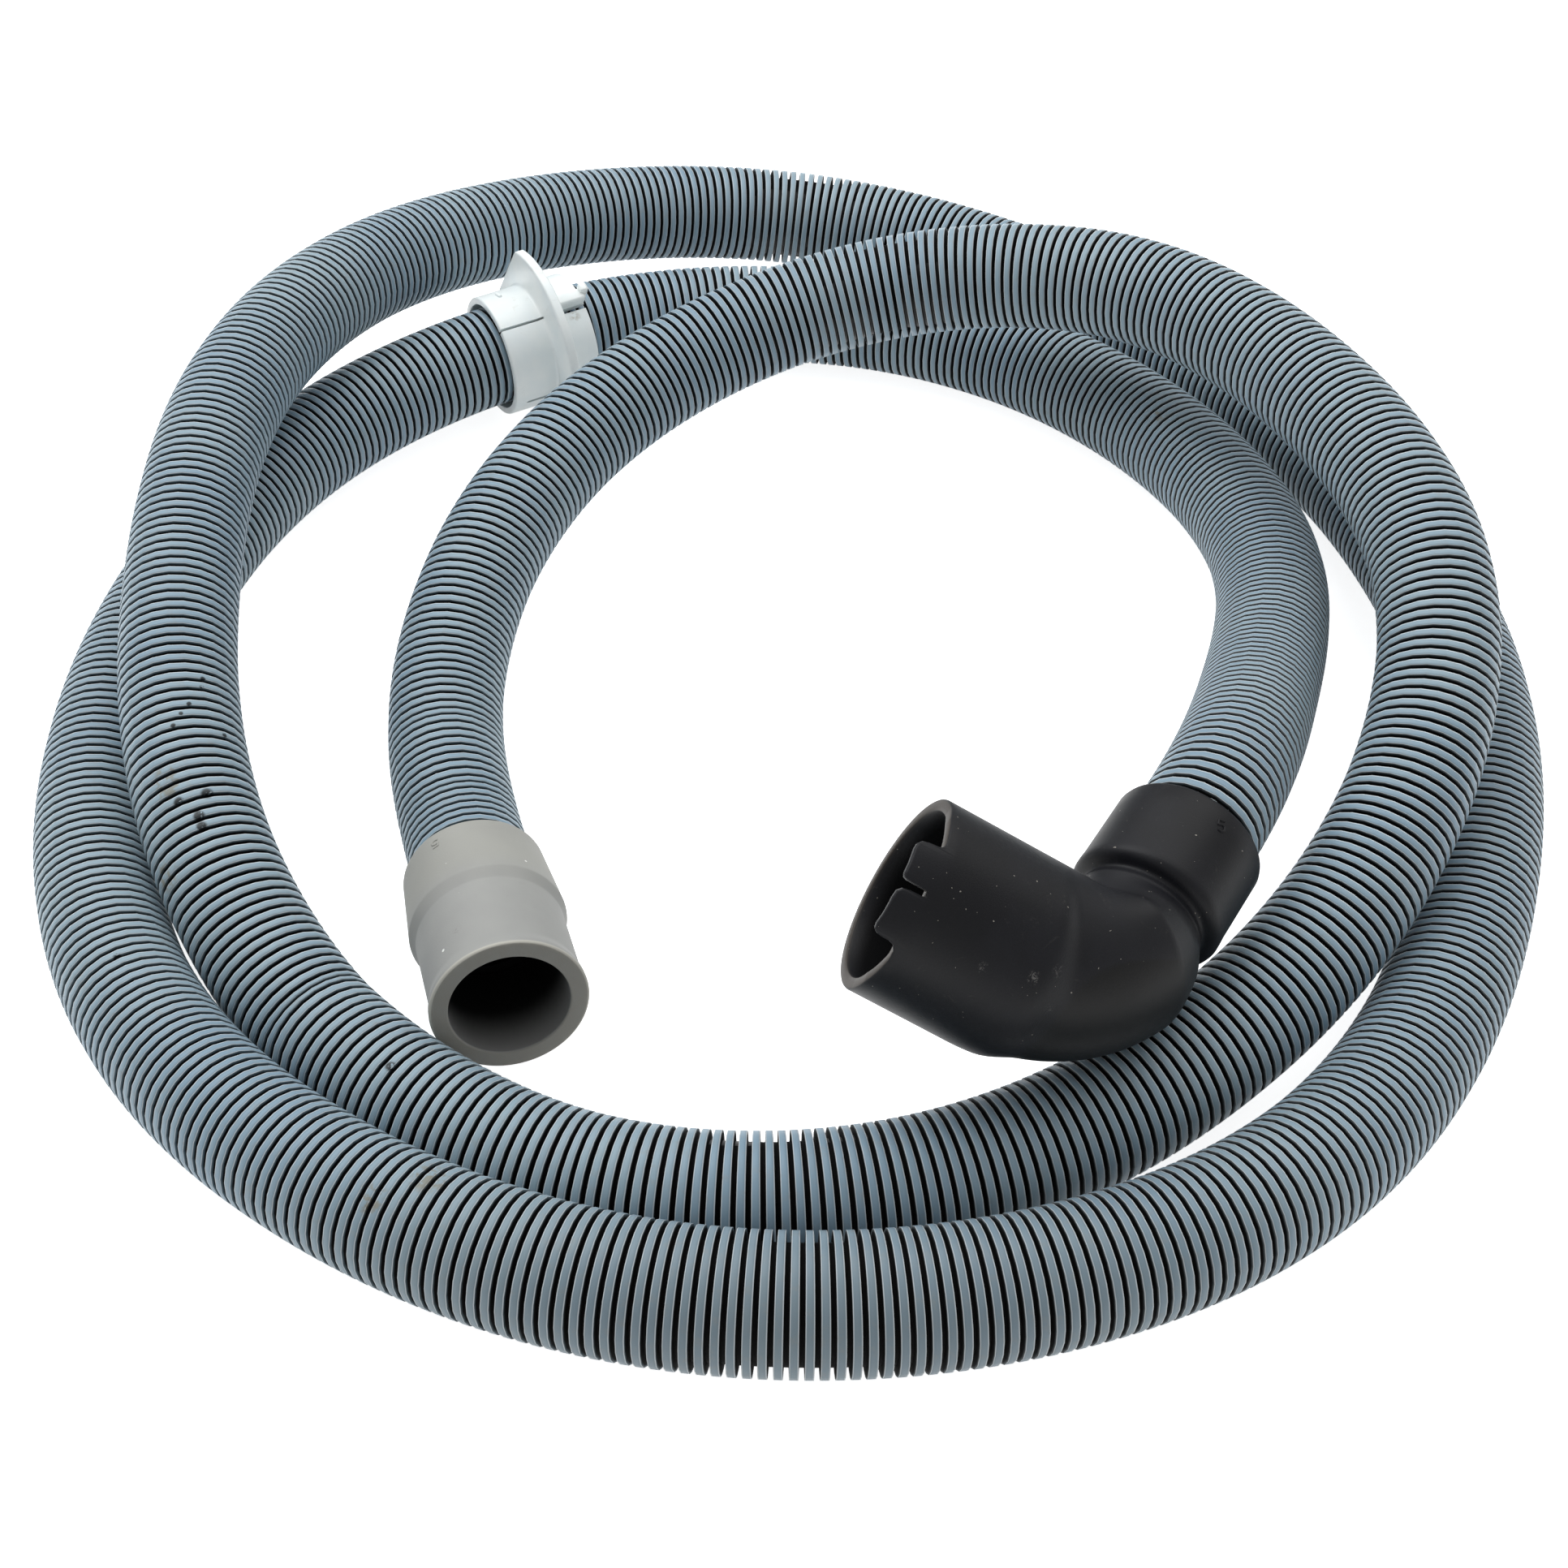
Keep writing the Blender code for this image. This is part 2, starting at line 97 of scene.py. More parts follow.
def gridMesh(name, grid, closeAlong=False, closeRound=True, uv=None, inside=False):
    # grid[i, j] is row i, column j; each cell between neighbours becomes one four-sided face
    rows, columns = grid.shape[:2]
    i = np.arange(rows if closeAlong else rows - 1)
    j = np.arange(columns if closeRound else columns - 1)
    ii, jj = np.meshgrid(i, j, indexing="ij")
    i1 = (ii + 1) % rows
    j1 = (jj + 1) % columns
    quads = np.stack([ii * columns + jj, ii * columns + j1,
                      i1 * columns + j1, i1 * columns + jj], -1).reshape(-1, 4)
    if inside:
        quads = quads[:, ::-1]
    mesh = bpy.data.meshes.new(name)
    mesh.vertices.add(rows * columns)
    mesh.vertices.foreach_set("co", grid.reshape(-1).astype(np.float32))
    mesh.loops.add(len(quads) * 4)
    mesh.loops.foreach_set("vertex_index", quads.reshape(-1).astype(np.int32))
    mesh.polygons.add(len(quads))
    mesh.polygons.foreach_set("loop_start", (np.arange(len(quads)) * 4).astype(np.int32))
    mesh.update(calc_edges=True)
    if uv is not None:
        # uv is a pair: the value of each column edge round the piece, and of each row edge along it
        roundEdge, alongEdge = uv
        a = np.stack([roundEdge[jj], roundEdge[jj + 1], roundEdge[jj + 1], roundEdge[jj]], -1)
        b = np.stack([alongEdge[ii], alongEdge[ii], alongEdge[ii + 1], alongEdge[ii + 1]], -1)
        pairs = np.stack([a.reshape(-1, 4), b.reshape(-1, 4)], -1)
        if inside:
            pairs = pairs[:, ::-1]
        layer = mesh.uv_layers.new(name="along")
        layer.data.foreach_set("uv", pairs.reshape(-1).astype(np.float32))
    return mesh


def newPiece(name, mesh):
    piece = bpy.data.objects.new(name, mesh)
    bpy.context.scene.collection.objects.link(piece)
    return piece


def smoothShade(mesh, angle=40):
    mesh.polygons.foreach_set("use_smooth", np.ones(len(mesh.polygons), bool))
    mesh.set_sharp_from_angle(angle=math.radians(angle))


def roundedOutline(corners, steps=5):
    # every corner (r, z, radius) is swapped for an arc that touches both of its sides
    points = np.array([c[:2] for c in corners], float)
    out = []
    for k, (r, z, radius) in enumerate(corners):
        here = points[k]
        toLast = unit(points[k - 1] - here)
        toNext = unit(points[(k + 1) % len(points)] - here)
        half = math.acos(np.clip(toLast @ toNext, -1, 1)) / 2
        if radius <= 0 or half > math.radians(88):
            out.append(here[None])
            continue
        reach = radius / math.tan(half)
        centre = here + unit(toLast + toNext) * radius / math.sin(half)
        start = here + toLast * reach - centre
        end = here + toNext * reach - centre
        sweep = math.atan2(start[0] * end[1] - start[1] * end[0], start @ end)
        t = np.linspace(0, sweep, steps)
        turn = np.stack([np.cos(t), np.sin(t)], -1)
        arc = np.stack([start[0] * turn[:, 0] - start[1] * turn[:, 1],
                        start[0] * turn[:, 1] + start[1] * turn[:, 0]], -1)
        out.append(centre + arc)
    return np.vstack(out)


def turnedGrid(outline, sides):
    # radius and height of the outline, swung round the z axis: x = r cos a, y = r sin a
    a = np.arange(sides) * math.tau / sides
    return np.stack([outline[:, :1] * np.cos(a), outline[:, :1] * np.sin(a),
                     np.repeat(outline[:, 1:], sides, 1)], -1)


def closedTube(name, grid, inside=False):
    # the first and last ring shrink onto their own middle, so the tube has both its ends shut
    first = np.repeat(grid[:1].mean(axis=1, keepdims=True), grid.shape[1], 1)
    last = np.repeat(grid[-1:].mean(axis=1, keepdims=True), grid.shape[1], 1)
    mesh = gridMesh(name, np.concatenate([first, grid, last]), inside=inside)
    weld(mesh)
    return mesh


def weld(mesh, distance=1e-6):
    work = bmesh.new()
    work.from_mesh(mesh)
    bmesh.ops.remove_doubles(work, verts=work.verts, dist=distance)
    bmesh.ops.recalc_face_normals(work, faces=work.faces)
    work.to_mesh(mesh)
    work.free()


def raisedFive(facts):
    # a thin round bead carried along the strokes of a 5, half sunk in the surface it stands on
    place, up, outward, height, thick = facts
    outward = unit(np.array(outward))
    up = unit(np.array(up) - outward * (np.array(up) @ outward))
    corners = np.array([(0.28, 0.5), (-0.26, 0.5), (-0.30, 0.06), (0.04, 0.13), (0.26, 0.0),
                        (0.30, -0.20), (0.22, -0.41), (0.0, -0.5), (-0.30, -0.40)]) * height
    steps = np.linspace(0, len(corners) - 1, 57)
    flat = np.stack([np.interp(steps, np.arange(len(corners)), corners[:, k]) for k in (0, 1)], -1)
    line = np.array(place) + flat[:, :1] * np.cross(up, outward) + flat[:, 1:] * up
    side = np.cross(outward, unit(np.gradient(line, axis=0)))
    b = np.arange(10) * math.tau / 10
    ring = np.cos(b)[None, :, None] * outward + np.sin(b)[None, :, None] * side[:, None]
    return closedTube("five", line[:, None] + thick * ring)


def joined(base, extra):
    # the second mesh becomes part of the first
    work = bmesh.new()
    work.from_mesh(base)
    work.from_mesh(extra)
    work.to_mesh(base)
    work.free()
    bpy.data.meshes.remove(extra)


hose = dict(
    outer=0.025,
    bore=0.0202,
    ribPitch=0.00246,
    grooveDepth=0.0021,
    crownShare=0.60,         # part of each pitch that is flat crown
    wallShare=0.05,          # part of each pitch that one groove wall leans over
    sides=24,
    # centreline in millimetres, from inside the straight cuff to inside the elbow
    route=[
        (-61.1, -89.4, 17.1), (-64.4, -77.5, 15.3), (-67.8, -65.6, 13.4), (-76.0, -30.5, 12.8),
        (-69.0, 27.5, 22.0), (-35.0, 76.5, 31.5), (22.0, 99.0, 43.5), (79.5, 85.5, 52.5),
        (118.5, 38.5, 54.0), (134.0, -19.0, 48.0), (117.5, -76.5, 31.0), (77.0, -120.5, 17.0),
        (22.5, -148.0, 13.0), (-39.0, -147.1, 12.5), (-92.3, -111.3, 12.5), (-121.5, -65.0, 24.5),
        (-134.0, -6.5, 34.5), (-132.5, 56.0, 41.0), (-111.5, 113.5, 37.5), (-65.5, 159.5, 26.5),
        (-1.5, 179.0, 16.0), (56.0, 160.5, 12.5), (101.0, 119.5, 12.5), (133.5, 66.5, 13.0),
        (149.0, 7.0, 12.5), (144.0, -53.5, 14.0), (121.5, -111.5, 12.5), (81.5, -155.5, 17.5),
        (23.5, -177.0, 20.0), (-38.5, -173.0, 20.0), (-90.5, -147.0, 17.5), (-130.5, -102.5, 13.5),
        (-149.0, -37.0, 12.5), (-143.5, 22.5, 13.0), (-120.0, 75.0, 14.0), (-74.0, 114.0, 15.5),
        (-14.5, 135.0, 13.0), (47.5, 121.0, 12.5), (91.5, 78.0, 14.5), (108.5, 20.5, 20.5),
        (97.0, -36.5, 31.5), (77.4, -85.4, 42.8), (71.1, -95.6, 42.0), (64.9, -105.8, 41.3),
    ],
)


def smoothRoute(points, perSpan=24):
    # natural cubic through the points: the second derivatives solve a three-banded system
    chord = np.linalg.norm(np.diff(points, axis=0), axis=1)
    count = len(points)
    system = np.eye(count)
    inner = np.arange(1, count - 1)
    system[inner, inner - 1] = chord[:-1]
    system[inner, inner] = 2 * (chord[:-1] + chord[1:])
    system[inner, inner + 1] = chord[1:]
    slope = np.diff(points, axis=0) / chord[:, None]
    right = np.zeros((count, 3))
    right[1:-1] = 6 * np.diff(slope, axis=0)
    second = np.linalg.solve(system, right)
    h = chord[:, None, None]
    b = np.linspace(0, 1, perSpan, endpoint=False)[None, :, None] * h
    a = h - b
    m0, m1, p0, p1 = second[:-1, None], second[1:, None], points[:-1, None], points[1:, None]
    line = (m0 * a**3 + m1 * b**3) / (6 * h) + (p0 / h - m0 * h / 6) * a + (p1 / h - m1 * h / 6) * b
    line = np.vstack([line.reshape(-1, 3), points[-1:]])
    line[:, 2] = np.maximum(line[:, 2], hose["outer"] / 2)    # the hose never dips under its floor
    return line


routePoints = np.array(hose["route"]) * mm
routeLine = smoothRoute(routePoints)
routeAlong = np.concatenate([[0], np.cumsum(np.linalg.norm(np.diff(routeLine, axis=0), axis=1))])
routeLength = routeAlong[-1]


def onRoute(s):
    # position and direction at distances s along the line
    def at(d):
        return np.stack([np.interp(d, routeAlong, routeLine[:, k]) for k in range(3)], -1)
    step = 0.002
    low, high = np.clip(s - step, 0, routeLength), np.clip(s + step, 0, routeLength)
    return at(s), unit(at(high) - at(low))


def makeHose(facts):
    # a trapezoid wave of radius carried along the route, then back inside as a plain bore
    ribs = round(routeLength / facts["ribPitch"])
    pitch = routeLength / ribs
    crown, wall = facts["crownShare"], facts["wallShare"]
    phases = np.array([0, crown, crown + wall, 1 - wall])
    count = (np.arange(ribs)[:, None] + phases).reshape(-1)
    outerR = facts["outer"] / 2
    deep = outerR - facts["grooveDepth"]
    radius = np.tile([outerR, outerR, deep, deep], ribs)
    innerCount = np.linspace(ribs, 0, 100)
    s = np.concatenate([count, [ribs], innerCount]) * pitch
    radius = np.concatenate([radius, [outerR], np.full(100, facts["bore"] / 2)])
    centre, way = onRoute(s)
    side = unit(np.cross(way, (0, 0, 1)))
    up = np.cross(side, way)
    a = np.arange(facts["sides"]) * math.tau / facts["sides"]
    ring = np.cos(a)[None, :, None] * side[:, None] + np.sin(a)[None, :, None] * up[:, None]
    grid = centre[:, None] + radius[:, None, None] * ring
    alongEdge = np.append(s / pitch, -1)
    alongEdge[-101:] = -1    # the bore counts as minus one, so that its finish has no ribs
    mesh = gridMesh("drain_hose_corrugated", grid, closeAlong=True, inside=True,
                    uv=(np.linspace(0, 1, facts["sides"] + 1), alongEdge))
    smoothShade(mesh, 40)
    piece = newPiece("drain_hose_corrugated", mesh)
    path = onRoute(np.linspace(0, routeLength, ribs + 1))[0]
    return piece, path


hosePiece, hosePath = makeHose(hose)
print("hose:", len(hosePiece.data.polygons), "faces,", round(routeLength, 4), "m")


class Wire:
    # wraps one output socket, so that the maths of a material reads as ordinary sums

    def __init__(self, tree, socket):
        self.tree, self.socket = tree, socket

    def node(self, kind, settings=None, inputs=None, output=0):
        # any node: its settings first, then the value or the link of each named or numbered socket
        made = self.tree.nodes.new("ShaderNode" + kind)
        for key, value in (settings or {}).items():
            if key == "stops":
                ramp = made.color_ramp
                while len(ramp.elements) < len(value):
                    ramp.elements.new(0.5)
                for stop, (place, colour) in zip(ramp.elements, value):
                    stop.position = place
                    stop.color = (*colour, 1)
            else:
                setattr(made, key, value)
        for key, value in (inputs or {}).items():
            if isinstance(value, Wire):
                self.tree.links.new(value.socket, made.inputs[key])
            else:
                made.inputs[key].default_value = value
        return Wire(self.tree, made.outputs[output])

    def maths(self, operation, a, b=0.0, clamp=False):
        return self.node("Math", {"operation": operation, "use_clamp": clamp}, {0: a, 1: b})

    def __add__(self, other): return self.maths("ADD", self, other)
    def __radd__(self, other): return self.maths("ADD", other, self)
    def __sub__(self, other): return self.maths("SUBTRACT", self, other)
    def __rsub__(self, other): return self.maths("SUBTRACT", other, self)
    def __mul__(self, other): return self.maths("MULTIPLY", self, other)
    def __rmul__(self, other): return self.maths("MULTIPLY", other, self)
    def __truediv__(self, other): return self.maths("DIVIDE", self, other)
    def __pow__(self, other): return self.maths("POWER", self, other)

    def fract(self): return self.maths("FRACT", self)
    def least(self, other): return self.maths("MINIMUM", self, other)
    def most(self, other): return self.maths("MAXIMUM", self, other)

    def between(self, low, high):
        # 0 below low, 1 above high and a soft step in between
        return self.node("MapRange", {"interpolation_type": "SMOOTHSTEP"},
                         {"Value": self, "From Min": low, "From Max": high})

    def colours(self, a, b):
        # colour a where this mask is 0, colour b where it is 1
        sides = [c if isinstance(c, Wire) else (*c, 1) for c in (a, b)]
        return self.node("Mix", {"data_type": "RGBA"}, {0: self, 6: sides[0], 7: sides[1]},
                         output=2)

    def noise(self, scale, detail=3.0, rough=0.5, twist=0.0):
        # this wire is the place; the result is the noise value from 0 to 1
        return self.node("TexNoise", None, {"Vector": self, "Scale": scale, "Detail": detail,
                                            "Roughness": rough, "Distortion": twist})

    def less(self, place):
        # the arrow from a fixed place to this one
        return self.node("VectorMath", {"operation": "SUBTRACT"}, {0: self, 1: place})

    def dot(self, other):
        return self.node("VectorMath", {"operation": "DOT_PRODUCT"}, {0: self, 1: other}, output=1)

    def roundAxis(self, place, way):
        # depth behind a mouth's plane, against the way it faces, and distance from its axis
        arrow = self.less(place)
        depth = arrow.dot(tuple(-w for w in way))
        return depth, (arrow.dot(arrow) - depth * depth).most(0.0) ** 0.5

    def near(self, place, radius, soft=0.5):
        # 1 inside a ball round a place on the piece, fading to 0 at its radius
        distance = self.node("VectorMath", {"operation": "DISTANCE"}, {0: self, 1: place}, output=1)
        return 1.0 - distance.between(radius * soft, radius)


def startMaterial(name, roughness):
    made = bpy.data.materials.new(name)
    made.use_nodes = True
    tree = made.node_tree
    shader = tree.nodes["Principled BSDF"]
    shader.inputs["Roughness"].default_value = roughness
    where = Wire(tree, tree.nodes.new("ShaderNodeTexCoord").outputs["Object"])
    return made, tree, shader, where


def bumped(wire, height, distance, strength=1.0):
    return wire.node("Bump", None, {"Height": height, "Distance": distance, "Strength": strength})


def srgb(r, g, b):
    # colour as read off a screen, 0 to 255, turned into the linear values that a shader takes
    c = np.array([r, g, b]) / 255
    return tuple(np.where(c <= 0.04045, c / 12.92, ((c + 0.055) / 1.055) ** 2.4).tolist())


hoseFinish = dict(
    crown=srgb(144, 166, 178),
    crownCool=srgb(130, 155, 172),
    # painted shade for the outermost turn at the front
    crownFrontShade=srgb(112, 126, 134),
    # painted highlight: the pale lines along the edges of each crown
    edge=srgb(222, 231, 235),
    # painted shade with some dirt: the near-black of the grooves
    grooveShade=srgb(5, 6, 8),
    # painted shade: the near-black of the bore inside the hose
    inside=srgb(12, 12, 13),
    dust=srgb(150, 145, 134),
    soot=srgb(16, 15, 14),
    moss=srgb(128, 112, 72),
    grit=srgb(214, 205, 184),
    roughness=0.44,
    specular=0.32,
    # marks left by use: place and radius
    sootSpots=[
        ((-0.1221, -0.0414, 0.0400), 0.0008), ((-0.1220, -0.0437, 0.0399), 0.0006),
        ((-0.1236, -0.0491, 0.0401), 0.0007), ((-0.1248, -0.0518, 0.0399), 0.0006),
        ((-0.1259, -0.0549, 0.0394), 0.0007), ((-0.1163, -0.0537, 0.0356), 0.0007),
        ((-0.1170, -0.0704, 0.0354), 0.0016), ((-0.1223, -0.0725, 0.0352), 0.0014),
        ((-0.1178, -0.0757, 0.0346), 0.0015), ((-0.1170, -0.0780, 0.0339), 0.0014),
        ((-0.1297, -0.1049, 0.0255), 0.0011), ((-0.0746, -0.1306, 0.0247), 0.0013),
    ],
    mossSpots=[
        ((-0.1238, -0.0852, 0.0272), 0.0040), ((-0.0730, -0.1635, 0.0295), 0.0036),
        ((-0.0635, -0.1600, 0.0310), 0.0045), ((0.0887, 0.0713, 0.0258), 0.0040),
        ((-0.1250, -0.0676, 0.0362), 0.0050),
    ],
    gritSpots=[((0.0106, -0.1743, 0.0297), 0.0006), ((-0.0291, -0.1763, 0.0304), 0.0005)],
)


def spots(where, marks):
    # the most of several soft balls, one for each place and radius
    found = None
    for place, radius in marks:
        ball = where.near(place, radius, 0.5)
        found = ball if found is None else found.most(ball)
    return found


def hoseMaterial(facts, geometry):
    made, tree, shader, where = startMaterial("hose_plastic_worn", facts["roughness"])
    shader.inputs["Specular IOR Level"].default_value = facts["specular"]
    uv = where.node("UVMap", {"uv_map": "along"})
    split = where.node("SeparateXYZ", None, {0: uv})
    count = Wire(tree, split.socket.node.outputs[1])
    phase = count.fract()
    crown, wall = geometry["crownShare"], geometry["wallShare"]
    # onRib is 1 on the flat of a rib, fades down its two walls and is 0 on the floor of the groove
    rise = phase.between(1.0 - wall * 0.35, 1.0)
    onRib = rise + 1.0 - phase.between(crown - 0.02, crown + wall * 0.35)
    # painted highlight: a pale line along both edges of each rib's crown
    edgeLine = (1.0 - phase.between(0.03, 0.10)) + phase.between(crown - 0.09, crown - 0.03)
    onCrown = 1.0 - phase.between(crown, crown + 0.02)
    # dome rounds the flat: one less the mean of the second and fourth powers of the distance
    # from its middle
    u = phase * (2.0 / crown) - 1.0
    dome = (1.0 - (u * u + u * u * u * u) * 0.5).most(0.0)
    patches = where.noise(22.0, 3.0, 0.55)
    mottle = where.noise(420.0, 4.0, 0.65)
    plain = patches.between(0.35, 0.65).colours(facts["crown"], facts["crownCool"])
    # painted shade: the outermost turn at the front is painted darker and greyer than the rest
    frontShade = 1.0 - where.dot((0.0, 1.0, 0.0)).between(-0.190, -0.148)
    plain = (frontShade * 0.75).colours(plain, facts["crownFrontShade"])
    lined = (edgeLine * onCrown * 0.92).colours(plain, facts["edge"])
    colour = (mottle.between(0.50, 0.74) * 0.22).colours(lined, facts["dust"])
    ragged = where.noise(1000.0, 3.0, 0.65)
    moss = spots(where, facts["mossSpots"]) * where.noise(520.0, 3.0, 0.6).between(0.46, 0.60)
    colour = (moss * 0.55).colours(colour, facts["moss"])
    soot = spots(where, facts["sootSpots"]) * ragged.between(0.36, 0.44)
    colour = (soot * 0.92).colours(colour, facts["soot"])
    colour = (spots(where, facts["gritSpots"]) * 0.9).colours(colour, facts["grit"])
    # the groove walls and floors are painted near-black: painted shade in the hollows, with some
    # dirt
    colour = onRib.colours(facts["grooveShade"], colour)
    # the bore inside the hose is painted near-black: painted shade
    colour = count.between(-0.6, -0.2).colours(facts["inside"], colour)
    tree.links.new(colour.socket, shader.inputs["Base Color"])
    rough = facts["roughness"] - 0.05 + 0.14 * mottle + (1.0 - onRib) * 0.4
    tree.links.new(rough.socket, shader.inputs["Roughness"])
    height = onRib * (0.3 + 0.7 * dome) + mottle * 0.06
    tree.links.new(bumped(where, height, 0.00042, 1.0).socket, shader.inputs["Normal"])
    return made


hosePiece.data.materials.append(hoseMaterial(hoseFinish, hose))
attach(hosePiece, "root")
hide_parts("drain_hose")


cuff = dict(
    # raised numeral: place, way up, way out, height, half its thickness
    numeral=((-0.07179, -0.07725, 0.02809), (0.268, -0.952, 0.148), (-0.51, 0.07, 0.86),
             0.0023, 0.00020),
    length=0.0412,
    hoseDepth=0.0166,
    mouthRadius=0.0154,
    bodyRadius=0.0148,
    shoulderRadius=0.0158,
    shoulderHeight=0.0172,
    shoulderRun=0.0027,
    hoseEndRadius=0.0145,
    boreRadius=0.0117,
    fitGap=0.0004,
    sides=192,
)


def cuffAxes():
    first, third = routePoints[0], routePoints[2]
    back = unit(third - first)
    return axesFrom(first + back * cuff["hoseDepth"], -back, (1, 0, 0))


def makeCuff(facts):
    # a rounded outline of the wall, swung round the cuff's own axis
    top, stop = facts["length"], facts["hoseDepth"] + facts["fitGap"]
    socket = hose["outer"] / 2 + facts["fitGap"]
    body, shoulder = facts["bodyRadius"], facts["shoulderHeight"]
    outline = roundedOutline([
        (facts["boreRadius"], top, 0.0004), (facts["mouthRadius"], top, 0.0006),
        (facts["mouthRadius"] - 0.0001, top - 0.0016, 0.0030), (body, top - 0.0036, 0.0060),
        (body, shoulder + facts["shoulderRun"], 0.0018),
        (facts["shoulderRadius"], shoulder, 0.0016),
        (facts["hoseEndRadius"], 0.0, 0.0006), (socket, 0.0, 0.0003), (socket, stop, 0.0002),
        (facts["boreRadius"], stop, 0.0003),
    ], steps=7)
    fine = []
    for a, b in zip(outline, np.roll(outline, -1, axis=0)):
        # long straight runs are split, so that the wobble below has rows to act on
        parts = max(1, round(float(np.linalg.norm(b - a)) / 0.0012))
        fine.append(a + (b - a) * np.arange(parts)[:, None] / parts)
    outline = np.vstack(fine)
    grid = turnedGrid(outline, facts["sides"])
    # soft rubber is never quite round: two gentle waves of a tenth of a millimetre
    angle = np.arctan2(grid[..., 1], grid[..., 0])
    wobble = 1 + 0.006 * np.cos(2 * angle + 0.6) * smoothStep(0.2, 1.0, grid[..., 2] / top)
    grid[..., :2] *= wobble[..., None]
    mesh = gridMesh("straight_cuff_rubber", placed(grid, cuffAxes()), closeAlong=True,
                    inside=True)
    joined(mesh, raisedFive(facts["numeral"]))
    smoothShade(mesh, 60)
    return newPiece("straight_cuff_rubber", mesh)


cuffFinish = dict(
    body=srgb(160, 161, 158),
    low=srgb(152, 153, 151),
    warm=srgb(163, 162, 151),      # the third by the hose has yellowed a little
    face=srgb(148, 145, 137),
    # painted highlight where the end face turns over
    paleEdgeHighlight=srgb(206, 203, 190),
    # painted shade inside the bore: black deep in, grey near the mouth
    inside=srgb(7, 7, 7),
    boreShadeNear=srgb(132, 132, 131),
    grime=srgb(112, 110, 104),
    fleck=srgb(236, 238, 234),
    flecks=[((-0.0668, -0.1072, 0.0302), 0.00045), ((-0.0532, -0.0828, 0.0291), 0.00035)],
    scratch=((-0.0644, -0.1038, 0.0322), 0.0012),
    roughness=0.62,
)


def cuffMaterial(facts, geometry):
    made, tree, shader, where = startMaterial("cuff_rubber_matt", facts["roughness"])
    origin, rows = cuffAxes()
    mouth = tuple((origin + rows[2] * geometry["length"]).tolist())
    depth, radial = where.roundAxis(mouth, rows[2].tolist())
    cloud = where.noise(55.0, 3.0, 0.5)
    grain = where.noise(2600.0, 2.0, 0.6)
    smear = where.noise(150.0, 5.0, 0.7, 0.6).between(0.62, 0.80)
    fleck = where.noise(620.0, 1.0, 0.4).between(0.800, 0.820)
    colour = cloud.between(0.3, 0.7).colours(facts["body"], facts["low"])
    colour = (depth.between(0.0200, 0.0300) * 0.35).colours(colour, facts["warm"])
    colour = (smear * 0.15).colours(colour, facts["grime"])
    place, radius = facts["scratch"]
    scratch = where.near(place, radius, 0.2) * where.noise(1500.0, 3.0, 0.6).between(0.50, 0.60)
    colour = (scratch * 0.5).colours(colour, facts["grime"])
    colour = (fleck * 0.5).most(spots(where, facts["flecks"])).colours(colour, facts["fleck"])
    # the end face is darker in patches, with a painted highlight, a pale line where it turns over,
    # and the bore is painted shade, going black
    edge = (1.0 - depth.between(0.0004, 0.0009)) * radial.between(0.0143, 0.0149)
    colour = (edge * 0.6).colours(colour, facts["paleEdgeHighlight"])
    face = (1.0 - depth.between(0.0001, 0.0003)) * (1.0 - radial.between(0.0149, 0.0151))
    patchy = where.noise(330.0, 4.0, 0.65).between(0.35, 0.75)
    colour = (face * (1.0 - 0.25 * patchy)).colours(colour, facts["face"])
    # painted shade: the bore goes from grey at the mouth to black deeper in
    bore = geometry["boreRadius"]
    within = 1.0 - radial.between(bore + 0.0001, bore + 0.0004)
    near = (1.0 - depth.between(0.0006, 0.0130)).colours(facts["inside"], facts["boreShadeNear"])
    colour = (within * depth.between(0.0001, 0.0006)).colours(colour, near)
    tree.links.new(colour.socket, shader.inputs["Base Color"])
    tree.links.new((facts["roughness"] - 0.05 + 0.10 * cloud).socket, shader.inputs["Roughness"])
    tree.links.new(bumped(where, grain + cloud * 0.4, 0.00005, 0.5).socket, shader.inputs["Normal"])
    return made


cuffPiece = makeCuff(cuff)
cuffPiece.data.materials.append(cuffMaterial(cuffFinish, cuff))
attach(cuffPiece, "root")
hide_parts("straight_cuff")
print("cuff:", len(cuffPiece.data.polygons), "faces")


